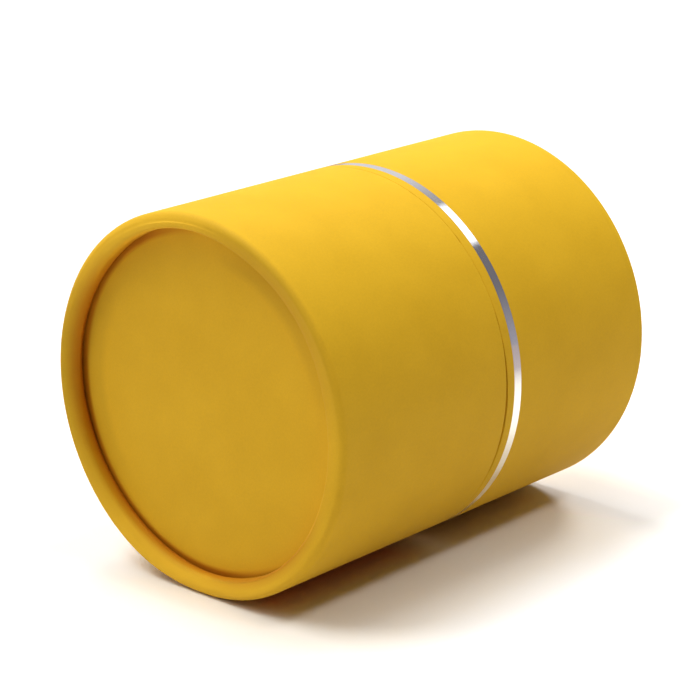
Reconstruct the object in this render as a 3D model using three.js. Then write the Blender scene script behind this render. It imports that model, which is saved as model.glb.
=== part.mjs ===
// A round gift tube box of wound card, lying on its side, with a base half and a pull-off lid half.
// Each half is a card tube with a rolled rim at its closed end, wrapped in yellow paper. The lid
// runs on a neck tube that is glued inside the base. Lengths are in millimetres.
// The tube's axis lies along X, the base towards -X and the lid towards +X, and Z = 0 is the table.
import * as THREE from "three";

// The whole tube, over its wrapping paper
const tubeRadius = 45;
const baseLength = 56; // crest of the rolled rim to the mouth
const lidLength = 53.7;
const mouthGap = 0.3; // left between the two mouths when the lid is on
const closedLength = baseLength + mouthGap + lidLength;

// The card and the papers
const boardWall = 1.6; // wound greyboard of both tubes
const wrapPaper = 0.25; // yellow paper
const innerPaper = 0.2; // white paper
const glueFilm = 0.1; // between a paper and what it is glued to
const wrapDepth = wrapPaper + glueFilm; // outer surface to board
const boardInside = tubeRadius - wrapDepth - boardWall;

// The rolled rim round each recessed end
const curlSlot = 0.8; // left open between the tube's wall and its rolled-in leg
const outerRound = 1.6; // shoulder from the wall to the flat crest
const innerRound = 0.9; // tighter shoulder from the crest to the leg
const curlLeg = 3.3; // straight part of the rolled-in leg
const seatGap = 0.3; // between an end panel and what traps it
const rimWidth = 2 * (wrapDepth + boardWall) + curlSlot;
const rimInside = tubeRadius - rimWidth;
const legEnd = innerRound + curlLeg;

// The mouths
const boardEase = 0.25; // round on the board's cut edge
const turnIn = 12; // length of the paper that is turned into the mouth
const mouthRound = boardEase + wrapDepth;
const mouthInside = boardInside - wrapDepth;

// The end panels, at their depths below the crest
const endBoard = 1.8;
const endClearance = 0.3; // radial play of a panel in its tube
const endRadius = boardInside - endClearance;
const recessDepth = legEnd + seatGap;
const endBoardOutside = recessDepth + wrapDepth;
const endBoardInside = endBoardOutside + endBoard;
const liningStart = endBoardInside + seatGap; // where the neck and the sleeve start

// The neck in the base
const neckReach = 18; // how far it stands out of the base
const neckWall = 1.2;
const neckClearance = 0.3; // radial running gap in the lid's mouth
const neckOutside = mouthInside - neckClearance;
const neckBoardOutside = neckOutside - innerPaper - glueFilm;
const neckLiningOutside = neckBoardOutside - neckWall - glueFilm;
const neckBore = neckLiningOutside - innerPaper;
const neckTop = baseLength + neckReach;
const neckBoardTop = neckTop - innerPaper - glueFilm;

// The sleeve in the lid, which the neck's edge meets
const sleeveWall = 1.2;
const sleeveOutside = boardInside - glueFilm;
const sleeveLiningOutside = sleeveOutside - sleeveWall - glueFilm;
const sleeveBore = sleeveLiningOutside - innerPaper;
const sleeveEnd = lidLength + mouthGap - neckReach - seatGap;

// The silver foil line on the lid
const bandOffset = 2.6; // mouth to line
const bandWidth = 2.5;
const foilThickness = 0.06;
const foilPlay = 0.04; // between the foil and its pressed bed, on every side

// Steps of the round forms
const ringSteps = 48;
const rimSteps = 3; // in each shoulder of the rim
const foldSteps = 1; // in each corner of a mouth

const yellowPaper = new THREE.MeshStandardMaterial({ color: 0xe3a827, roughness: 0.78, metalness: 0 });
const silverFoil = new THREE.MeshStandardMaterial({ color: 0xd9dadd, roughness: 0.18, metalness: 1 });
const greyBoard = new THREE.MeshStandardMaterial({ color: 0xa89a84, roughness: 0.95, metalness: 0 });
const whitePaper = new THREE.MeshStandardMaterial({ color: 0xf1ede2, roughness: 0.85, metalness: 0 });

// An outline is a list of [depth, radius] points. Depth runs from the crest of the rim to the mouth,
// and the points go round the section with the solid on their left, from the outside in at the crest.

function arc(centreDepth, centreRadius, size, fromDegrees, toDegrees, steps) {
  const points = [];
  for (let i = 0; i <= steps; i += 1) {
    const angle = THREE.MathUtils.degToRad(fromDegrees + ((toDegrees - fromDegrees) * i) / steps);
    points.push([centreDepth + size * Math.cos(angle), centreRadius + size * Math.sin(angle)]);
  }
  return points;
}

// The rim's surface from the outer wall over the crest to the end of the leg, set in by inset.
function rimOutline(inset) {
  return [
    ...arc(outerRound, tubeRadius - outerRound, outerRound - inset, 90, 180, rimSteps),
    ...arc(innerRound, rimInside + innerRound, innerRound - inset, 180, 270, rimSteps),
    [legEnd, rimInside + inset],
  ];
}

// The mouth's surface from the inner wall over the edge to the outer wall, set in by inset.
function mouthOutline(length, inset) {
  const size = mouthRound - inset;
  const centre = length - mouthRound;
  return [
    ...arc(centre, mouthInside + mouthRound, size, -90, 0, foldSteps),
    ...arc(centre, tubeRadius - mouthRound, size, 0, 90, foldSteps),
  ];
}

// A solid of revolution about the tube's axis, turned so that a facet, not a corner, faces down.
function revolve(name, outline, material) {
  const upwards = [...outline].reverse().map(([depth, radius]) => new THREE.Vector2(radius, depth));
  const halfStep = Math.PI / ringSteps;
  const mesh = new THREE.Mesh(new THREE.LatheGeometry(upwards, ringSteps, halfStep), material);
  mesh.name = name;
  return mesh;
}

function ring(name, outline, material) {
  return revolve(name, [...outline, outline[0]], material);
}

function tube(name, start, end, outside, inside, material) {
  const outline = [
    [start, outside],
    [start, inside],
    [end, inside],
    [end, outside],
  ];
  return ring(name, outline, material);
}

function disc(name, start, end, radius, material) {
  const outline = [
    [end, 0],
    [end, radius],
    [start, radius],
    [start, 0],
  ];
  return revolve(name, outline, material);
}

// The wound card tube, with its end rolled in on itself.
function boardTube(name, length) {
  const slotInside = boardInside - curlSlot;
  const slotBottom = wrapDepth + boardWall;
  const outline = [
    ...rimOutline(wrapDepth),
    [legEnd, slotInside],
    [slotBottom, slotInside],
    [slotBottom, boardInside],
    ...mouthOutline(length, wrapDepth),
  ];
  return ring(name, outline, greyBoard);
}

// The yellow paper: over the tube and its rim as far as the end panel, and turned into the mouth.
function wrap(name, length, bed) {
  const outline = [
    ...rimOutline(0),
    ...rimOutline(wrapPaper).reverse(),
    ...mouthOutline(length, wrapPaper).reverse(),
    [length - turnIn, mouthInside + wrapPaper],
    [length - turnIn, mouthInside],
    ...mouthOutline(length, 0),
    ...bed,
  ];
  return ring(name, outline, yellowPaper);
}

// The pressed bed of the foil line, in the outer side of the lid's wrap.
function foilBed() {
  const bedRadius = tubeRadius - foilThickness - foilPlay;
  const nearMouth = lidLength - bandOffset + foilPlay;
  const nearRim = lidLength - bandOffset - bandWidth - foilPlay;
  return [
    [nearMouth, tubeRadius],
    [nearMouth, bedRadius],
    [nearRim, bedRadius],
    [nearRim, tubeRadius],
  ];
}

// A tube, its wrap, and the end panel with a paper on each side. The inner one lies inside bore.
function half(prefix, length, bore, bed) {
  const linerStart = endBoardInside + glueFilm;
  const group = new THREE.Group();
  group.add(
    boardTube(`${prefix}_board_tube`, length),
    wrap(`${prefix}_wrap`, length, bed),
    disc(`${prefix}_end_cover`, recessDepth, recessDepth + wrapPaper, endRadius, yellowPaper),
    disc(`${prefix}_end_board`, endBoardOutside, endBoardInside, endRadius, greyBoard),
    disc(`${prefix}_end_liner`, linerStart, linerStart + innerPaper, bore - endClearance, whitePaper),
  );
  return group;
}

// The white paper round the neck, folded over its free edge.
function neckFacing() {
  const outline = [
    [liningStart, neckOutside],
    [liningStart, neckOutside - innerPaper],
    [neckTop - innerPaper, neckOutside - innerPaper],
    [neckTop - innerPaper, neckBore],
    [neckTop, neckBore],
    [neckTop, neckOutside],
  ];
  return ring("neck_facing", outline, whitePaper);
}

function baseHalf() {
  const group = half("base", baseLength, neckBore, []);
  group.add(
    tube("neck_tube", liningStart, neckBoardTop, neckBoardOutside, neckBoardOutside - neckWall, greyBoard),
    tube("neck_lining", liningStart, neckBoardTop, neckLiningOutside, neckBore, whitePaper),
    neckFacing(),
  );
  group.rotation.z = -Math.PI / 2; // depth runs towards +X
  group.position.x = -closedLength / 2;
  return group;
}

function lidHalf() {
  const bandStart = lidLength - bandOffset - bandWidth;
  const bandEnd = lidLength - bandOffset;
  const group = half("lid", lidLength, sleeveBore, foilBed());
  group.add(
    tube("lid_sleeve", liningStart, sleeveEnd, sleeveOutside, sleeveOutside - sleeveWall, greyBoard),
    tube("lid_lining", liningStart, sleeveEnd, sleeveLiningOutside, sleeveBore, whitePaper),
    tube("foil_band", bandStart, bandEnd, tubeRadius, tubeRadius - foilThickness, silverFoil),
  );
  group.rotation.z = Math.PI / 2; // depth runs towards -X
  group.position.x = closedLength / 2;
  return group;
}

const giftTube = new THREE.Group();
giftTube.add(baseHalf(), lidHalf());
giftTube.position.z = tubeRadius * Math.cos(Math.PI / ringSteps); // the lowest facets lie on the table

export default giftTube;
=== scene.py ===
# The finish of a card gift tube on its side: yellow paper, a silver foil line, white paper inside
import math

import bpy
import numpy as np
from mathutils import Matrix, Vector, noise


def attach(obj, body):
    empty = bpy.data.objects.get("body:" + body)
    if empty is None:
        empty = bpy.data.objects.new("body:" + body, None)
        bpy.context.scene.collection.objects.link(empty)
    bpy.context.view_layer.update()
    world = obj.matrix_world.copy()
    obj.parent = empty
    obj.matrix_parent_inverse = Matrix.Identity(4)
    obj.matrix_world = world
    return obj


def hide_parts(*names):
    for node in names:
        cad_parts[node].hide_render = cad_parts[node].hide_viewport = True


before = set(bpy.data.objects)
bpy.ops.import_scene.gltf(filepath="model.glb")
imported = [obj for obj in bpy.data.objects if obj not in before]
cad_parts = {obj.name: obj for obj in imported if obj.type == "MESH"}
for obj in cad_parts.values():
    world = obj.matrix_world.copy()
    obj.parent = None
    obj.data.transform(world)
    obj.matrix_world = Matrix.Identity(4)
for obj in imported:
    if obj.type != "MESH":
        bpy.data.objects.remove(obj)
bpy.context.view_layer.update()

# Sizes of the tube, in millimetres
MM = 0.001
tube_radius = 45.0
base_length = 56.0
lid_length = 53.7
half_length = 55.0
wrap_paper = 0.25
inner_paper = 0.2
glue_film = 0.1
board_wall = 1.6
wrap_depth = wrap_paper + glue_film
board_inside = tube_radius - wrap_depth - board_wall

# The rolled rim
rim_width = 4.7
curl_slot = 0.8  # between the tube's board and its rolled-in leg
outer_round = 1.7  # shoulder from the wall to the crest
inner_rounds = (0.6, 2.1)  # shoulder from the crest to the leg, where the roll is tight and slack
slack_place = (166.0, 46.0)  # angle and spread of the slack stretch
crest_dome = 0.06  # the crest isn't quite flat
rim_inside = tube_radius - rim_width
leg_end = 4.15
leg_end_closed = 4.48  # where the leg touches the panel
leg_flare = 0.3  # how far the leg's end curls back from the panel's edge
flare_length = 0.9
gap_place = 198.0  # angle round which the gap between leg and panel is open
gap_reach = (78.0, 108.0)  # how far from there it starts to close and has closed
recess_depth = 4.5

# The mouth
mouth_round = 0.12
mouth_inside = board_inside - wrap_depth
turn_in = 12.0
lean_start, lean_full = 3.0, 0.5  # how far from the mouth its lean starts and is full

# The end panels
end_board = 1.8
end_play = 0.3  # round the end panel's discs
end_radius = board_inside - end_play
panel_crown = 0.12
panel_uneven = 0.022
panel_wave_sizes = (19.0, 6.0)
panel_fine_share = 0.3
panel_seeds = {"base": 1.5, "lid": 7.5}
panel_dip = 0.3  # how far the panel's paper falls back under the leg
dip_width = 1.3
dip_past_leg = 0.6
backing_gap = 0.3  # between the end board and the tube that backs it
liner_start = recess_depth + wrap_depth + end_board + glue_film
lining_start = recess_depth + wrap_depth + end_board + backing_gap

# The neck and the lid's sleeve
neck_reach = 18.0
neck_wall = 1.2
neck_play = 0.3  # between the neck and the lid's mouth
neck_outside = mouth_inside - neck_play
neck_board_outside = neck_outside - inner_paper - glue_film
neck_lining_outside = neck_board_outside - neck_wall - glue_film
neck_bore = neck_lining_outside - inner_paper
neck_top = base_length + neck_reach
neck_board_top = neck_top - inner_paper - glue_film
neck_fold_round = 0.25
sleeve_outside = board_inside - glue_film
sleeve_lining_outside = sleeve_outside - neck_wall - glue_film
sleeve_bore = sleeve_lining_outside - inner_paper
sleeve_end = lid_length - neck_reach
cut_ease = 0.12  # on the long edges of a wound tube
paper_ease = 0.05

# The foil line
band_offset = 2.6
band_width = 2.5
band_start = lid_length - band_offset - band_width
band_end = lid_length - band_offset
foil_thickness = 0.06
foil_play = 0.04

# Relief of the paper, in millimetres
wall_wave = 0.03
fine_share = 0.25  # height of the fine waves, as a share of the broad ones
wave_sizes = (24.0, 6.0)
pleat_height = 0.05
pleat_size = 2.2
pleat_stretch = 0.15
pleat_fade = (70.0, 120.0)  # places along the bead between which the pleats fade out
edge_wander = 0.02
wander_size = 7.0
half_seeds = {"base": 0.0, "lid": 5.3}
mouth_close = 0.135  # how far each mouth reaches towards the other
open_places = [  # angle, spread, and how far it falls back there
    (-7.0, 18.0, 0.34),
    (22.0, 2.6, 0.06),
    (48.0, 1.2, 0.1),
    (69.0, 1.2, 0.04),
    (168.0, 30.0, 0.22),
]
rim_leans = [  # angle, spread, and how far the rolled-in half stands off its circle
    (92.0, 28.0, 1.1),
    (48.0, 20.0, -0.4),
]
leg_leans = [  # the same for the end of its leg alone
    (135.0, 26.0, -0.3),
    (175.0, 20.0, 0.47),
    (240.0, 26.0, -0.32),
]
rim_tilts = [  # angle, its spread, and how far the crest falls inwards there, per millimetre
    (45.0, 26.0, 0.4),
    (104.0, 30.0, -0.16),
    (172.0, 26.0, 0.42),
    (256.0, 42.0, 0.46),
]
worn_shoulders = [(271.0, 17.0, 0.72)]  # angle, spread, and how far the outer shoulder stands back
worn_width = 2.8
tilt_edge = 1.0  # the crest tilts from this far inside the wall
tilt_fade = (1.2, 3.4)  # depths between which the tilt and the wear fade out
inner_fade = (rim_inside + 1.2, rim_inside + rim_width * 0.6)  # radii where the inner half fades out

# Where the wrap laps over itself
lap_height = 0.1
lap_angle = 214.0  # degrees round the axis, from facing -Y over the top
lap_width = 9.0
lap_step = 0.25  # half the width of its edge
lap_fade = 4.0  # width of the soft step down
lap_rim_fade = (1.5, 7.0)  # depths between which the lap rises from the rim

# Creases across the rim's bead, and places along it
creases = [  # angle, its spread, place along the bead in degrees, its spread, depth
    (239.0, 5.0, 72.0, 9.0, 0.14),
    (243.0, 2.4, 96.0, 14.0, 0.08),
    (158.0, 3.0, 120.0, 24.0, 0.06),
    (98.0, 4.0, 110.0, 26.0, 0.05),
]
crease_turn = 97.0  # degrees from one half's creases to the other's, for each unit of seed
leg_degrees = 10.0  # along the bead, for each millimetre down the leg
past_bead = -90.0  # stands for the place along the bead where there is none

# The fold from the rim's inner shoulder down to the end panel, where shade is painted darker
fold_depths = (1.2, 3.7)  # where it starts to deepen and is deepest
fold_end = (recess_depth + 1, recess_depth + 2)  # where it fades out, behind the panel's face
fold_radii = (rim_inside - 0.4, rim_inside + 2.2, 1.1)  # low, high, and how far it fades beyond
shoulder_radii = (rim_inside + 2.4, rim_inside + 0.2)  # where it starts on the shoulder and is full
least_in_gap = 0.06  # its strength where the gap is closed
least_on_shoulder = 0.1
shaded_shoulders = [(170, 40, 0.65), (306, 36, 0.6)]  # angle, how far it reaches, and the strength of the painted shade there

# Areas with painted light and painted shade: radii and depths (low, high and fade), and places like those
# above
# where the painted shade on the panel's edge starts
panel_shade_start = 35.2
painted_light_areas = [  # painted light on the crest, at its top and bottom
    ((rim_inside + 0.5, tube_radius - 0.9, 0.8), (-1.0, 1.2, 1.0), [(262, 62, 0.9), (118, 50, 0.6)]),
]
painted_shade_areas = [  # painted shade on the crest, the leg and the panel's edge
    ((rim_inside, tube_radius - 0.9, 0.8), (-1.0, 1.4, 1.0), [(188, 46, 0.3), (45, 44, 0.34)]),
    ((rim_inside - 0.1, rim_inside + 0.2, 0.5), (0.2, recess_depth, 0.6), [(300, 28, 0.75)]),
    # painted shadow of the rim along the panel's edge
    (
        (panel_shade_start, rim_inside + 0.7, 2.2),
        (recess_depth - 0.1, recess_depth + 0.6, 0.2),
        [(45, 42, 0.27), (184, 44, 0.22)],
    ),
]

# The meshes
columns = 288
leg_steps = 10
inner_steps = 10
crest_steps = 10
outer_steps = 14
mouth_steps = 6
panel_steps = 32
foil_rows = 9
wall_step = 2.0
bed_step = 0.7
tube_step = 4.0
cut_step = 0.8
fold_step = 0.3
sharp_edge = 38.0  # degrees
facet_corners = 48  # the CAD's rings: its walls' lowest facets lie on the table
axis_height = tube_radius * math.cos(math.pi / facet_corners)


def smooth(edge0, edge1, value):
    t = np.clip((value - edge0) / (edge1 - edge0), 0.0, 1.0)
    return t * t * (3 - 2 * t)


def ring_angles():
    """Columns round the axis, closer together where the wrap's edge laps over its start."""
    even = np.linspace(0, 360, columns, endpoint=False)
    degree = math.degrees(1 / tube_radius)
    near_lap = lap_angle + degree * lap_step * np.array([-1.0, -0.48, 0.0, 0.48, 1.0])
    return np.radians(np.sort(np.unique(np.concatenate([even, near_lap]))))


angles = ring_angles()


def line(start, end, step):
    """Points from start towards end, without the end, no further apart than step."""
    start, end = np.array(start, float), np.array(end, float)
    count = max(1, math.ceil(np.linalg.norm(end - start) / step))
    return [start + (end - start) * i / count for i in range(count)]


def bend(depth, radius, size, start, end, steps):
    """Points on an arc, from start to end degrees, both included."""
    turns = [math.radians(start + (end - start) * i / steps) for i in range(steps + 1)]
    return [np.array((depth + size * math.cos(t), radius + size * math.sin(t))) for t in turns]


def offset_normals(path):
    """Unit normals of an open path, to the right of its direction."""
    forward = np.gradient(path, axis=0)
    normals = np.stack([-forward[:, 1], forward[:, 0]], axis=1)
    return normals / np.linalg.norm(normals, axis=1, keepdims=True)


def ring_faces(rows, cols):
    """Faces of a closed section revolved: the rows and the columns both join up."""
    faces = []
    for i in range(rows):
        low, high = i * cols, (i + 1) % rows * cols
        for j in range(cols):
            after = (j + 1) % cols
            faces.append((low + j, low + after, high + after, high + j))
    return faces


def disc_faces(rows, cols, last):
    """Faces of a disc: its first and last rows are the single points 0 and last."""
    faces = []
    end_ring = 1 + (rows - 3) * cols
    for j in range(cols):
        after = (j + 1) % cols
        faces.append((0, 1 + after, 1 + j))
        faces.append((last, end_ring + j, end_ring + after))
    for i in range(rows - 3):
        low, high = 1 + i * cols, 1 + (i + 1) * cols
        for j in range(cols):
            after = (j + 1) % cols
            faces.append((low + j, low + after, high + after, high + j))
    return faces


def make_mesh(name, grid, closed):
    """A mesh from points [row, column, xyz]: rows run along the section, columns round the axis."""
    rows, cols = grid.shape[:2]
    if closed:
        points = grid.reshape(-1, 3)
        faces = ring_faces(rows, cols)
    else:
        points = np.concatenate([grid[0, :1], grid[1:-1].reshape(-1, 3), grid[-1, :1]])
        faces = disc_faces(rows, cols, len(points) - 1)
    mesh = bpy.data.meshes.new(name)
    mesh.from_pydata((points * MM).tolist(), [], faces)
    if signed_volume(points, faces) < 0:
        mesh.flip_normals()
    mesh.shade_smooth()
    mesh.set_sharp_from_angle(angle=math.radians(sharp_edge))
    mesh.update()
    return mesh


def signed_volume(points, faces):
    """Above zero when the faces point outwards, in a unit that doesn't matter."""
    total = 0.0
    for size in (3, 4):
        corners = np.array([face for face in faces if len(face) == size], int)
        if not len(corners):
            continue
        for k in range(1, size - 1):
            a, b, c = points[corners[:, 0]], points[corners[:, k]], points[corners[:, k + 1]]
            total += np.einsum("ij,ij->i", a, np.cross(b, c)).sum()
    return total


def place(side, depth, radius, turns):
    """Points in the part's frame of [depth, radius] places at the angles turns, for one half."""
    x = depth - half_length if side == "base" else half_length - depth
    return np.stack([x, -radius * np.cos(turns), axis_height + radius * np.sin(turns)], axis=-1)


def add_piece(name, mesh, body, slot, made, *nodes):
    piece = bpy.data.objects.new(name, mesh)
    bpy.context.scene.collection.objects.link(piece)
    piece.data.materials.append(made)
    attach(piece, body)
    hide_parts(*nodes)
    return piece


def revolved(depth_row, radius_row):
    """Depth, radius and angle of every point of a section revolved, as [row, column] arrays."""
    depth = np.repeat(depth_row[:, None], len(angles), axis=1)
    radius = np.repeat(radius_row[:, None], len(angles), axis=1)
    turns = np.repeat(angles[None, :], len(depth_row), axis=0)
    return depth, radius, turns


def ring_grid(side, outline, relief=None):
    """A closed section [depth, radius] revolved; relief(depth, radius, angle) gives shifts of both."""
    outline = np.array(outline, float)
    depth, radius, turns = revolved(outline[:, 0], outline[:, 1])
    if relief is not None:
        inwards, outwards = relief(depth, radius, turns)
        depth, radius = depth + inwards, radius + outwards
    return place(side, depth, radius, turns)


def field(depth, radius, turns, scale, seed, depth_share=1.0):
    """Smooth noise on the tube's surface, from -1 to 1, with features about scale millimetres wide."""
    across, up = radius * np.cos(turns), radius * np.sin(turns)
    points = np.stack([across, up, depth * depth_share], axis=-1) / scale
    shift = Vector((seed, seed * 0.7, -seed))
    flat = [noise.noise(Vector(point) + shift) for point in points.reshape(-1, 3)]
    return np.array(flat).reshape(depth.shape)


def waves(depth, radius, turns, seed):
    """The broad and the fine waves of the paper on its board."""
    broad, fine = wave_sizes
    relief = wall_wave * field(depth, radius, turns, broad, seed + 1)
    return relief + fine_share * wall_wave * field(depth, radius, turns, fine, seed + 2)


def lap(turns):
    """The wrap's end lies over its start: a sharp step up, and a soft one down where the start ends."""
    along = (np.degrees(turns) - lap_angle) / math.degrees(1 / tube_radius)
    step = smooth(-lap_step, lap_step, along)
    return lap_height * step * (1 - smooth(lap_width, lap_width + lap_fade, along))


def degrees_from(angle, turns):
    """How far the angles turns lie from angle, from -180 to 180 degrees."""
    return (np.degrees(turns) - angle + 180) % 360 - 180


def bumps(places, turns):
    """Sum of smooth bumps round the axis, each with its angle, spread and height."""
    total = np.zeros_like(turns)
    for angle, spread, height in places:
        total += height * np.exp(-(degrees_from(angle, turns) / spread) ** 2)
    return total


def gap_open(turns):
    """1 where the gap between the rim's leg and the end panel is open, 0 where the two touch."""
    return 1 - smooth(*gap_reach, np.abs(degrees_from(gap_place, turns)))


def rim_shift(depth, radius, turns):
    """How the roll departs from its circle, as shifts of depth and radius."""
    inner_half = 1 - smooth(*inner_fade, radius)
    down_leg = np.clip(depth / leg_end, 0, 1) * inner_half
    outwards = bumps(rim_leans, turns) * inner_half + bumps(leg_leans, turns) * down_leg
    outwards += leg_flare * gap_open(turns) * smooth(leg_end - flare_length, leg_end, depth) * inner_half
    fall = bumps(rim_tilts, turns) * np.clip(tube_radius - tilt_edge - radius, 0, None)
    back = bumps(worn_shoulders, turns) * smooth(tube_radius - worn_width, tube_radius, radius)
    reach = (leg_end_closed - leg_end) * (1 - gap_open(turns)) * down_leg
    return (fall + back) * (1 - smooth(*tilt_fade, depth)) + reach, outwards


def mouth_lean(turns):
    """The mouths all but touch, apart from the places where the lid stands off a little."""
    return mouth_close - bumps(open_places, turns)


def crease_relief(seed, bead_place, turns):
    total = np.zeros_like(turns)
    for angle, spread, along_bead, bead_spread, depth in creases:
        away = degrees_from(angle + seed * crease_turn, turns)
        total -= depth * np.exp(-(away / spread) ** 2 - ((bead_place - along_bead) / bead_spread) ** 2)
    return total


def rim_path(inset, inner_round):
    """The rim from its leg over the crest to the wall, set in by inset."""
    crest_start, crest_end = rim_inside + inner_round, tube_radius - outer_round
    path = bend(inner_round, crest_start, inner_round - inset, 270, 180, inner_steps)
    for i in range(1, crest_steps):
        share = i / crest_steps
        radius = crest_start + (crest_end - crest_start) * share
        path.append(np.array((inset - crest_dome * math.sin(math.pi * share), radius)))
    return path + bend(outer_round, crest_end, outer_round - inset, 180, 90, outer_steps)


def leg_path(inner_round):
    """The rolled-in leg, from its end up to the shoulder."""
    depths = [leg_end + (inner_round - leg_end) * i / leg_steps for i in range(leg_steps)]
    return [np.array((depth, rim_inside)) for depth in depths]


def wall_path(length, bed):
    """From the rim's shoulder to the turn-in's end, over the foil's bed, where there is one."""
    wall_end = length - mouth_round
    path = []
    start = (outer_round, tube_radius)
    for low, high in bed:
        path += line(start, (low, tube_radius), wall_step)[1:] + [np.array((low, tube_radius))]
        bed_radius = tube_radius - foil_thickness - foil_play
        path += line((low, bed_radius), (high, bed_radius), bed_step) + [np.array((high, bed_radius))]
        start = (high, tube_radius)
        path.append(np.array(start))
    path += line(start, (wall_end, tube_radius), wall_step)[1:]
    path += bend(wall_end, tube_radius - mouth_round, mouth_round, 90, 0, mouth_steps)
    path += bend(wall_end, mouth_inside + mouth_round, mouth_round, 0, -90, mouth_steps)
    path += line((wall_end, mouth_inside), (length - turn_in, mouth_inside), wall_step)[1:]
    path.append(np.array((length - turn_in, mouth_inside)))
    return path


def wrap_path(length, bed, inner_round):
    """The wrap's whole section with its normals."""
    path = np.array(leg_path(inner_round) + rim_path(0.0, inner_round) + wall_path(length, bed))
    return path, offset_normals(path)


def bead_places(path, leg_count, rim_count):
    """Where each point lies on the bead, in degrees: 0 at its leg, 180 at the wall, below 0 on the leg."""
    places = np.full(len(path), past_bead)
    places[:leg_count] = -path[:leg_count, 0] * leg_degrees
    run = np.linalg.norm(np.diff(path[leg_count:rim_count], axis=0), axis=1).cumsum()
    places[leg_count:rim_count] = np.concatenate([[0.0], run]) / run[-1] * 180
    return places


def between(tight, slack, slackness):
    """The two columns of tight, moved towards those of slack."""
    return [tight[:, i:i + 1] + (slack - tight)[:, i:i + 1] * slackness for i in (0, 1)]


def wrap_relief(side, depth, radius, turns, bead_place):
    """How far the wrap stands off its section: waves, pleats, creases and the lap."""
    seed = half_seeds[side]
    near_leg = 1 - smooth(*pleat_fade, np.where(bead_place == past_bead, pleat_fade[1], bead_place))
    relief = waves(depth, radius, turns, seed)
    relief += pleat_height * near_leg * field(depth, radius, turns, pleat_size, seed + 3, pleat_stretch)
    relief += crease_relief(seed, bead_place, turns)
    return relief + lap(turns) * smooth(*lap_rim_fade, depth)


def wrap_grid(side, length, bed):
    """The wrap as one sheet: leg, bead, wall, mouth and turn-in, with its paper's thickness inwards."""
    (tight, tight_normals), (slack, slack_normals) = (wrap_path(length, bed, size) for size in inner_rounds)
    count = len(tight)
    leg_count = len(leg_path(inner_rounds[0]))
    rim_count = leg_count + len(rim_path(0.0, inner_rounds[0]))
    turns = np.repeat(angles[None, :], count, axis=0)
    slackness = bumps([(*slack_place, 1.0)], turns)
    depth, radius = between(tight, slack, slackness)
    normal_depth, normal_radius = between(tight_normals, slack_normals, slackness)
    bead_place = np.repeat(bead_places(tight, leg_count, rim_count)[:, None], len(angles), axis=1)
    relief = wrap_relief(side, depth, radius, turns, bead_place)
    wander = edge_wander * field(depth * 0, radius, turns, wander_size, half_seeds[side] + 4)
    lean = (wander + mouth_lean(turns)) * smooth(length - lean_start, length - lean_full, depth)
    on_rim = (np.arange(count) < rim_count)[:, None]
    fall, outwards = rim_shift(depth, radius, turns)
    sheet = []
    for inset in (0.0, wrap_paper):
        move = relief - inset
        new_depth = depth + normal_depth * move + lean + fall * on_rim
        new_radius = radius + normal_radius * move + outwards * on_rim
        sheet.append(place(side, new_depth, new_radius, turns))
    return np.concatenate([sheet[0], sheet[1][::-1]])


def panel_grid(side, start, thickness, edge, dips):
    """A disc with a slightly crowned, uneven face. The dips are for its outer and inner face."""
    reach = np.linspace(0, edge, panel_steps)
    middle = start + thickness / 2
    end = start + thickness
    depth_row = np.concatenate([np.full(panel_steps, start), [middle] * 2, np.full(panel_steps, end)])
    depth, radius, turns = revolved(depth_row, np.concatenate([reach, [edge] * 2, reach[::-1]]))
    broad_size, fine_size = panel_wave_sizes
    broad = field(depth * 0, radius, turns, broad_size, panel_seeds[side])
    fine = field(depth * 0, radius, turns, fine_size, panel_seeds[side] + 1)
    lift = panel_crown * (1 - (radius / edge) ** 2) + panel_uneven * (broad + panel_fine_share * fine)
    face_dip = np.repeat(dips, panel_steps + 1)[:, None]
    lift -= face_dip * gap_open(turns) * smooth(rim_inside - dip_width, rim_inside + dip_past_leg, radius)
    return place(side, depth - lift, radius, turns)


def tube_outline(start, end, outside, inside, ease=cut_ease):
    """A plain wall's section with its long edges eased."""
    corners = [(start, outside), (start, inside), (end, inside), (end, outside)]
    outline = []
    for i, corner in enumerate(corners):
        for other in (corners[i - 1], corners[(i + 1) % 4]):
            away = np.array(other, float) - np.array(corner, float)
            outline.append(np.array(corner) + away / np.linalg.norm(away) * ease)
    dense = []
    for i, point in enumerate(outline):
        dense += line(point, outline[(i + 1) % len(outline)], tube_step)
    return dense


def material(name):
    """A new node material, with its tree, shader and object coordinates."""
    made = bpy.data.materials.new(name)
    made.use_nodes = True
    tree = made.node_tree
    shader = tree.nodes["Principled BSDF"]
    coordinates = tree.nodes.new("ShaderNodeTexCoord").outputs["Object"]
    return made, tree, shader, coordinates


def noise_at(tree, at, size, detail=3.0, roughness=0.55):
    """Noise with features about size millimetres wide."""
    texture = tree.nodes.new("ShaderNodeTexNoise")
    texture.inputs["Scale"].default_value = 1 / (size * MM)
    texture.inputs["Detail"].default_value = detail
    texture.inputs["Roughness"].default_value = roughness
    tree.links.new(at, texture.inputs["Vector"])
    return texture.outputs["Fac"]


def remap(tree, value, from_low, from_high, to_low, to_high):
    node = tree.nodes.new("ShaderNodeMapRange")
    numbers = {"From Min": from_low, "From Max": from_high, "To Min": to_low, "To Max": to_high}
    for key, number in numbers.items():
        node.inputs[key].default_value = number
    tree.links.new(value, node.inputs["Value"])
    return node.outputs["Result"]


def maths(tree, operation, *values):
    node = tree.nodes.new("ShaderNodeMath")
    node.operation = operation
    for socket, value in zip(node.inputs, values):
        if isinstance(value, (int, float)):
            socket.default_value = value
        else:
            tree.links.new(value, socket)
    return node.outputs[0]


def plus(tree, first, second):
    return maths(tree, "ADD", first, second)


def minus(tree, first, second):
    return maths(tree, "SUBTRACT", first, second)


def times(tree, first, second):
    return maths(tree, "MULTIPLY", first, second)


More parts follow.
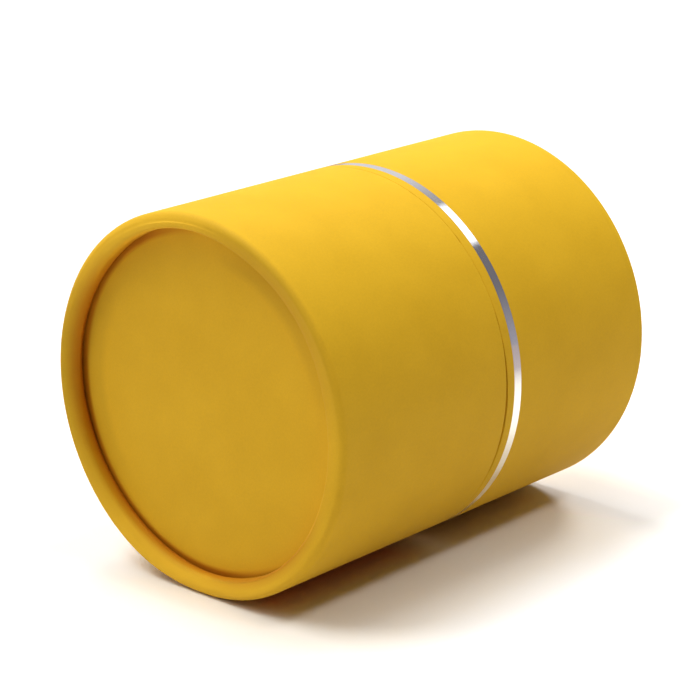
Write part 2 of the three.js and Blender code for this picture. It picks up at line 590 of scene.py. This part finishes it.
def mix_colours(tree, share, first, second):
    node = tree.nodes.new("ShaderNodeMix")
    node.data_type = "RGBA"
    tree.links.new(share, node.inputs["Factor"])
    for socket, value in ((node.inputs[6], first), (node.inputs[7], second)):
        if isinstance(value, tuple):
            socket.default_value = (*value, 1.0)
        else:
            tree.links.new(value, socket)
    return node.outputs[2]


def axes_of(tree, vector):
    """The X, Y and Z of a vector, by name."""
    parts = tree.nodes.new("ShaderNodeSeparateXYZ")
    tree.links.new(vector, parts.inputs[0])
    return parts.outputs


def bump(tree, shader, layers):
    """Stacks height layers (value, height in millimetres) on the shader's normal."""
    normal = None
    for value, height in layers:
        node = tree.nodes.new("ShaderNodeBump")
        node.inputs["Strength"].default_value = 1.0
        node.inputs["Distance"].default_value = height * MM
        tree.links.new(value, node.inputs["Height"])
        if normal is not None:
            tree.links.new(normal, node.inputs["Normal"])
        normal = node.outputs["Normal"]
    tree.links.new(normal, shader.inputs["Normal"])


def ramp(tree, value, places, start, end):
    """start at the first of two places in millimetres, end at the second, and even between them."""
    return remap(tree, value, places[0] * MM, places[1] * MM, start, end)


def within(tree, value, low, high, fade):
    """1 between low and high, all in millimetres, and 0 from fade beyond them."""
    rise = ramp(tree, value, (low - fade, low), 0.0, 1.0)
    return times(tree, rise, ramp(tree, value, (high, high + fade), 1.0, 0.0))


def rim_place(tree, at):
    """Radius, depth below the nearer rim's crest, and angle round the axis."""
    axes = axes_of(tree, at)
    up = minus(tree, axes["Z"], axis_height * MM)
    radius = maths(tree, "SQRT", plus(tree, times(tree, up, up), times(tree, axes["Y"], axes["Y"])))
    depth = minus(tree, half_length * MM, maths(tree, "ABSOLUTE", axes["X"]))
    return radius, depth, maths(tree, "ARCTAN2", up, times(tree, axes["Y"], -1.0))


def towards(tree, turn, angle, reach, strength):
    """strength at the given angle round the axis, and 0 from reach degrees away."""
    cosine = maths(tree, "COSINE", minus(tree, turn, math.radians(angle)))
    return remap(tree, cosine, math.cos(math.radians(reach)), 1.0, 0.0, strength)


def at_places(tree, turn, places):
    """The sum of the strengths at some places round the axis."""
    total = towards(tree, turn, *places[0])
    for angle_reach_strength in places[1:]:
        total = plus(tree, total, towards(tree, turn, *angle_reach_strength))
    return total


def fold_shade(tree, radius, depth, turn):
    """How much shade is painted, from the rim's inner shoulder down its leg to the end panel."""
    facing = maths(tree, "COSINE", minus(tree, turn, math.radians(gap_place)))
    closed, opened = (math.cos(math.radians(reach)) for reach in reversed(gap_reach))
    gap = remap(tree, facing, closed, opened, least_in_gap, 1.0)
    deep_shade = ramp(tree, depth, fold_depths, 0.0, 1.0)
    strength = plus(tree, at_places(tree, turn, shaded_shoulders), least_on_shoulder)
    shoulder = ramp(tree, radius, shoulder_radii, 0.0, 1.0)
    leg = times(tree, times(tree, shoulder, strength), minus(tree, 1.0, deep_shade))
    share = plus(tree, leg, times(tree, deep_shade, gap))
    share = times(tree, share, ramp(tree, depth, fold_end, 1.0, 0.0))
    return times(tree, share, within(tree, radius, *fold_radii))


def tone(tree, radius, depth, turn, areas):
    """The sum of the strengths of some areas."""
    total = None
    for radii, depths, places in areas:
        area = times(tree, within(tree, radius, *radii), within(tree, depth, *depths))
        area = times(tree, area, at_places(tree, turn, places))
        total = area if total is None else plus(tree, total, area)
    return total


noise_span = (0.3, 0.7)  # most of a noise's values lie in it


def yellow_paper():
    dull, bright = (0.765, 0.436, 0.016), (0.849, 0.497, 0.022)
    # Besides the paper's own tones: a lighter colour for painted light, and two darker ones for painted
    # shade
    painted_light, painted_shade, deep_shade = (0.95, 0.55, 0.03), (0.4, 0.22, 0.01), (0.58, 0.2, 0.005)
    made, tree, shader, at = material("yellow_paper")
    fibre = noise_at(tree, at, 0.5, detail=5.0, roughness=0.62)
    cloud = noise_at(tree, at, 14.0)
    share = plus(tree, remap(tree, fibre, *noise_span, -0.1, 0.5), remap(tree, cloud, *noise_span, 0.0, 0.6))
    ground = mix_colours(tree, share, dull, bright)
    rim = rim_place(tree, at)
    # Painted light on the crest, at its top and bottom
    ground = mix_colours(tree, tone(tree, *rim, painted_light_areas), ground, painted_light)
    # Painted shade on the crest, the leg and the panel's edge
    ground = mix_colours(tree, tone(tree, *rim, painted_shade_areas), ground, painted_shade)
    # Painted shade in the fold down to the end panel
    ground = mix_colours(tree, fold_shade(tree, *rim), ground, deep_shade)
    tree.links.new(ground, shader.inputs["Base Color"])
    tree.links.new(remap(tree, fibre, *noise_span, 0.6, 0.72), shader.inputs["Roughness"])
    shader.inputs["Specular IOR Level"].default_value = 0.14
    ripple = noise_at(tree, at, 2.4, detail=2.0)
    bump(tree, shader, [(ripple, 0.02), (fibre, 0.02)])
    return made


def silver_foil():
    dark, bright = (0.84, 0.84, 0.87), (0.93, 0.93, 0.95)
    made, tree, shader, at = material("silver_foil")
    shader.inputs["Metallic"].default_value = 1.0
    grain = noise_at(tree, at, 0.4)
    tree.links.new(mix_colours(tree, grain, dark, bright), shader.inputs["Base Color"])
    tree.links.new(remap(tree, grain, *noise_span, 0.07, 0.13), shader.inputs["Roughness"])
    ripple = noise_at(tree, at, 3.0, detail=2.0)
    bump(tree, shader, [(ripple, 0.02), (grain, 0.002)])
    return made


def winding_line(tree, at, pitch, width):
    """A thin helical line round the tube's axis, 1 on the line: the edge of a wound strip."""
    axes = axes_of(tree, at)
    up = minus(tree, axes["Z"], axis_height * MM)
    turn = maths(tree, "DIVIDE", maths(tree, "ARCTAN2", up, axes["Y"]), 2 * math.pi)
    along = maths(tree, "DIVIDE", axes["X"], pitch * MM)
    place_on_strip = maths(tree, "FRACT", plus(tree, turn, along))
    away = maths(tree, "ABSOLUTE", minus(tree, place_on_strip, 0.5))
    return remap(tree, away, width / pitch, 0.0, 0.0, 1.0)


def greyboard():
    dark, pale, flecked = (0.26, 0.21, 0.155), (0.5, 0.43, 0.33), (0.16, 0.12, 0.09)
    made, tree, shader, at = material("greyboard")
    fibre = noise_at(tree, at, 0.35, detail=6.0, roughness=0.7)
    fleck = remap(tree, noise_at(tree, at, 0.9, detail=2.0), 0.62, 0.7, 0.0, 0.5)
    ground = mix_colours(tree, fibre, dark, pale)
    tree.links.new(mix_colours(tree, fleck, ground, flecked), shader.inputs["Base Color"])
    shader.inputs["Roughness"].default_value = 0.92
    shader.inputs["Specular IOR Level"].default_value = 0.25
    bump(tree, shader, [(winding_line(tree, at, pitch=62.0, width=0.5), -0.08), (fibre, 0.05)])
    return made


def white_paper():
    grey, pale, clouded = (0.67, 0.65, 0.6), (0.75, 0.74, 0.7), (0.63, 0.61, 0.55)
    made, tree, shader, at = material("white_paper")
    fibre = noise_at(tree, at, 0.45, detail=5.0, roughness=0.6)
    cloud = remap(tree, noise_at(tree, at, 12.0, detail=2.0), 0.35, 0.65, 0.0, 0.25)
    ground = mix_colours(tree, fibre, grey, pale)
    tree.links.new(mix_colours(tree, cloud, ground, clouded), shader.inputs["Base Color"])
    shader.inputs["Roughness"].default_value = 0.72
    shader.inputs["Specular IOR Level"].default_value = 0.35
    bump(tree, shader, [(winding_line(tree, at, pitch=88.0, width=0.35), -0.05), (fibre, 0.02)])
    return made


YELLOW, FOIL, BOARD, WHITE = yellow_paper(), silver_foil(), greyboard(), white_paper()


def add_ring(name, side, outline, slot, made, node, relief=None):
    mesh = make_mesh(name, ring_grid(side, outline, relief), True)
    return add_piece(name, mesh, side, slot, made, node)


def add_disc(name, side, sizes, dips, slot, made, node):
    """A disc of the sizes (start, thickness, radius)."""
    mesh = make_mesh(name, panel_grid(side, *sizes, dips), False)
    return add_piece(name, mesh, side, slot, made, node)


def board_outline(length):
    """The wound board's section: the rolled rim, the slot behind its leg, and the cut mouth."""
    slot_inside = board_inside - curl_slot
    slot_bottom = wrap_depth + board_wall
    mouth = length - wrap_depth
    outline = rim_path(wrap_depth, inner_rounds[1])[::-1]
    outline += [(leg_end, rim_inside + wrap_depth), (leg_end, slot_inside)]
    outline += [(slot_bottom, slot_inside), (slot_bottom, board_inside)]
    outline += line((mouth, board_inside), (mouth, tube_radius - wrap_depth), cut_step)
    outline.append((mouth, tube_radius - wrap_depth))
    return outline


def add_half(side, length, bore, bed):
    """The wrap, the board tube and the end panel of one half."""
    wrap = make_mesh(f"{side}_paper_wrap", wrap_grid(side, length, bed), True)
    add_piece(f"{side}_paper_wrap", wrap, side, "yellow_paper", YELLOW, f"{side}_wrap")
    add_ring(f"{side}_rolled_tube", side, board_outline(length), "greyboard", BOARD, f"{side}_board_tube",
             rim_shift)
    cover = (recess_depth, wrap_paper, end_radius)
    board = (recess_depth + wrap_depth, end_board, end_radius)
    liner = (liner_start, inner_paper, bore - end_play)
    add_disc(f"{side}_panel_paper", side, cover, (panel_dip, panel_dip), "yellow_paper", YELLOW,
             f"{side}_end_cover")
    add_disc(f"{side}_panel_board", side, board, (panel_dip, 0), "greyboard", BOARD, f"{side}_end_board")
    add_disc(f"{side}_panel_lining", side, liner, (0, 0), "white_paper", WHITE, f"{side}_end_liner")


def facing_outline():
    """The white paper round the neck, folded over its free edge."""
    under = neck_outside - inner_paper
    fold = neck_top - inner_paper
    ease = neck_fold_round
    outline = [(lining_start, neck_outside), (lining_start, under)]
    outline += line((fold, under), (fold, neck_bore), fold_step) + [np.array((fold, neck_bore))]
    outline += bend(neck_top - ease, neck_bore + ease, ease, -30, 0, 3)
    outline += bend(neck_top - ease, neck_outside - ease, ease, 0, 90, 5)
    return outline + line((neck_top - ease, neck_outside), (lining_start, neck_outside), tube_step)[1:]


def add_neck():
    tube = tube_outline(lining_start, neck_board_top, neck_board_outside, neck_board_outside - neck_wall)
    add_ring("neck_wound_tube", "base", tube, "greyboard", BOARD, "neck_tube")
    lining = tube_outline(lining_start, neck_board_top, neck_lining_outside, neck_bore, paper_ease)
    add_ring("neck_inner_paper", "base", lining, "white_paper", WHITE, "neck_lining")
    add_ring("neck_outer_paper", "base", facing_outline(), "white_paper", WHITE, "neck_facing")


def add_lid_inside():
    sleeve = tube_outline(lining_start, sleeve_end, sleeve_outside, sleeve_outside - neck_wall)
    add_ring("lid_wound_sleeve", "lid", sleeve, "greyboard", BOARD, "lid_sleeve")
    lining = tube_outline(lining_start, sleeve_end, sleeve_lining_outside, sleeve_bore, paper_ease)
    add_ring("lid_inner_paper", "lid", lining, "white_paper", WHITE, "lid_lining")


def foil_relief(depth, radius, turns):
    """The foil follows the waves and the lap of the paper under it."""
    return 0.0, waves(depth, radius, turns, half_seeds["lid"]) + lap(turns)


def add_foil():
    depths = np.linspace(band_start, band_start + band_width, foil_rows)
    outline = [(depth, tube_radius) for depth in depths]
    outline += [(depth, tube_radius - foil_thickness) for depth in depths[::-1]]
    add_ring("silver_foil_line", "lid", outline, "silver_foil", FOIL, "foil_band", foil_relief)


add_half("base", base_length, neck_bore, [])
add_half("lid", lid_length, sleeve_bore, [(band_start - foil_play, band_end + foil_play)])
add_neck()
add_lid_inside()
add_foil()


floor_reach = 3.0  # metres
floor_level = axis_height - tube_radius
white = (1.0, 1.0, 1.0)
painted_floor_light = [  # painted light and shade on the floor: where it lies along X and across (low, high and fade, in millimetres), and its colour
    ((-58, 66, 14), (-48, 16, 14), (1.0, 0.955, 0.87)),  # painted warm bounce light near the tube
    ((50, 64, 10), (-50, -16, 8), (0.84, 0.82, 0.79)),  # painted shadow past the lid, greyer
    ((2, 42, 8), (-15, 10, 9), (0.92, 0.77, 0.64)),  # painted shade under the lid, deeper
    ((-46, -6, 8), (-15, 10, 9), (0.97, 0.48, 0.42)),  # painted shade under the base, deepest
]
floor_painted_reflection = (0.9, 0.91, 0.8), (0.28, 0.27, 0.3)  # painted reflection colour in the foil, near the tube and far from it
floor_far = (0.12, 0.3)  # metres from the tube where its near colour starts to give way and has gone
floor_bounce = (0.705, 0.677, 0.655)  # the colour with which it lights the tube
# A painted warm glow that the floor gives off in the foil alone
painted_floor_glow = (1.0, 0.5, 0.1)
painted_floor_glow_strength = 0.14
floor_pale = (-24, -64)  # from where to where it pales towards the front
floor_paleness = 0.25


def floor_colour(tree, at):
    """Pale card: painted warm light where the paper's light falls on it, painted shade under the tube, white
    farther off.
    """
    rays = tree.nodes.new("ShaderNodeLightPath").outputs
    axes = axes_of(tree, at)
    seen = white
    for along, across, painted_tint in painted_floor_light:
        patch = times(tree, within(tree, axes["X"], *along), within(tree, axes["Y"], *across))
        seen = mix_colours(tree, patch, seen, painted_tint)
    away = tree.nodes.new("ShaderNodeVectorMath")
    away.operation = "LENGTH"
    tree.links.new(at, away.inputs[0])
    # Painted reflection colour of the floor in the foil, from near the tube to far off
    distant = remap(tree, away.outputs["Value"], *floor_far, 0.0, 1.0)
    mirrored = mix_colours(tree, distant, *floor_painted_reflection)
    seen = mix_colours(tree, rays["Is Glossy Ray"], seen, mirrored)
    return mix_colours(tree, rays["Is Diffuse Ray"], seen, floor_bounce)


def light_floor(tree, at, shader):
    """Pales the floor to the camera towards the front, and gives it a faint painted glow in the foil."""
    rays = tree.nodes.new("ShaderNodeLightPath").outputs
    pale = ramp(tree, axes_of(tree, at)["Y"], floor_pale, 0.0, floor_paleness)
    painted_glow = mix_colours(tree, rays["Is Glossy Ray"], white, painted_floor_glow)
    tree.links.new(painted_glow, shader.inputs["Emission Color"])
    strength = plus(tree, times(tree, pale, rays["Is Camera Ray"]),
                    times(tree, rays["Is Glossy Ray"], painted_floor_glow_strength))
    tree.links.new(strength, shader.inputs["Emission Strength"])


def floor():
    mesh = bpy.data.meshes.new("floor")
    sides = [(-1, -1), (1, -1), (1, 1), (-1, 1)]
    corners = [(x * floor_reach, y * floor_reach, floor_level * MM) for x, y in sides]
    mesh.from_pydata(corners, [], [(0, 1, 2, 3)])
    made, tree, shader, at = material("floor")
    tree.links.new(floor_colour(tree, at), shader.inputs["Base Color"])
    light_floor(tree, at, shader)
    shader.inputs["Roughness"].default_value = 0.8
    shader.inputs["Specular IOR Level"].default_value = 0.2
    mesh.materials.append(made)
    plane = bpy.data.objects.new("floor", mesh)
    bpy.context.scene.collection.objects.link(plane)


window_towards = (0.7, -0.085, 0.709)
pane_edge = (13, 10)  # degrees from its middle where the window's image starts and is full
pane_colour = (1.6, 1.6, 1.6)
room_pale = (0.33, 0.33, 0.34)  # the room's light from +Y. From -Y it is black
mirrored_dark, mirrored_pale = (0.17, 0.16, 0.175), (0.74, 0.72, 0.74)  # in the foil, to -Y and to +Y
mirrored_low = (0.36, 0.34, 0.38)  # in the foil, to -Y near the horizon
pale_full = 0.5  # Y of a direction from which the pale side is full
horizon_reach = 0.4  # Z of a direction up to which the horizon's tone reaches


def mirrored_room(tree, direction, axes):
    """What the foil shows of the studio: a dark and a pale side, and the window's bright pane."""
    pale_side = remap(tree, axes["Y"], 0.0, pale_full, 0.0, 1.0)
    mirrored = mix_colours(tree, pale_side, mirrored_dark, mirrored_pale)
    horizon = remap(tree, axes["Z"], horizon_reach, 0.0, 0.0, 1.0)
    low = times(tree, horizon, minus(tree, 1.0, pale_side))
    mirrored = mix_colours(tree, low, mirrored, mirrored_low)
    facing = tree.nodes.new("ShaderNodeVectorMath")
    facing.operation = "DOT_PRODUCT"
    tree.links.new(direction, facing.inputs[0])
    facing.inputs[1].default_value = Vector(window_towards).normalized()
    start, full = (math.cos(math.radians(angle)) for angle in pane_edge)
    pane = remap(tree, facing.outputs["Value"], start, full, 0.0, 1.0)
    return mix_colours(tree, pane, mirrored, pane_colour)


def studio():
    """White to the camera, and to the rest a dim room with a pale side towards +Y."""
    world = bpy.data.worlds.new("studio")
    bpy.context.scene.world = world
    world.use_nodes = True
    tree = world.node_tree
    direction = tree.nodes.new("ShaderNodeTexCoord").outputs["Generated"]
    rays = tree.nodes.new("ShaderNodeLightPath").outputs
    axes = axes_of(tree, direction)
    room = mix_colours(tree, remap(tree, axes["Y"], -1.0, 1.0, 0.0, 1.0), (0.0, 0.0, 0.0), room_pale)
    room = mix_colours(tree, rays["Is Glossy Ray"], room, mirrored_room(tree, direction, axes))
    seen = mix_colours(tree, rays["Is Camera Ray"], room, white)
    tree.links.new(seen, tree.nodes["Background"].inputs["Color"])


def add_lamp(data, direction, distance):
    made = bpy.data.objects.new(data.name, data)
    made.rotation_mode = "QUATERNION"
    made.rotation_quaternion = Vector(direction).to_track_quat("Z", "Y")
    made.location = Vector((0, 0, axis_height * MM)) + Vector(direction).normalized() * distance
    bpy.context.scene.collection.objects.link(made)
    return made


def lamp(name, direction, strength, size):
    """A far lamp, size degrees wide. At strength 1 it lights a facing white surface to plain white."""
    data = bpy.data.lights.new(name, "SUN")
    data.energy = strength * math.pi
    data.angle = math.radians(size)
    add_lamp(data, direction, 1.0)


def window(name, direction, strength, size, distance):
    """A round window as wide as size degrees, near enough to light what faces it unevenly."""
    data = bpy.data.lights.new(name, "AREA")
    data.shape = "DISK"
    data.size = 2 * distance * math.tan(math.radians(size / 2))
    data.energy = strength * (math.pi * distance) ** 2
    made = add_lamp(data, direction, distance)
    made.visible_glossy = False


def camera():
    """Stands where the photograph's camera stood, worked out from the tube's outline in it."""
    azimuth, elevation = math.radians(-48.42), math.radians(17.78)
    radii_away = 13.498
    distance = radii_away * tube_radius * MM
    focal_pixels, frame_pixels = 2540.75, 700
    off_right, off_down = 6.36, 3.56
    data = bpy.data.cameras.new("camera")
    data.sensor_width = 36.0
    data.lens = data.sensor_width * focal_pixels / frame_pixels
    data.shift_x = -off_right / frame_pixels
    data.shift_y = off_down / frame_pixels
    made = bpy.data.objects.new("camera", data)
    back = Vector((math.sin(azimuth) * math.cos(elevation), -math.cos(azimuth) * math.cos(elevation),
                   math.sin(elevation)))
    made.location = Vector((0, 0, axis_height * MM)) + back * distance
    made.rotation_mode = "QUATERNION"
    made.rotation_quaternion = back.to_track_quat("Z", "Y")
    bpy.context.scene.collection.objects.link(made)
    bpy.context.scene.camera = made


floor()
studio()
lamp("above_back", (0.0, 0.71, 0.71), strength=0.22, size=24)
lamp("above", (0.0, 0.42, 0.91), strength=0.2, size=24)
lamp("above_base", (-0.37, 0.26, 0.89), strength=0.395, size=24)
lamp("low_base", (-0.65, 0.5, 0.57), strength=0.09, size=20)
lamp("above_lid", (0.5, 0.37, 0.78), strength=0.12, size=20)
lamp("front", (0.08, -0.51, 0.855), strength=0.19, size=7)
window("far_window", window_towards, strength=0.42, size=16.5, distance=0.55)
camera()
bpy.context.scene.view_settings.view_transform = "Standard"
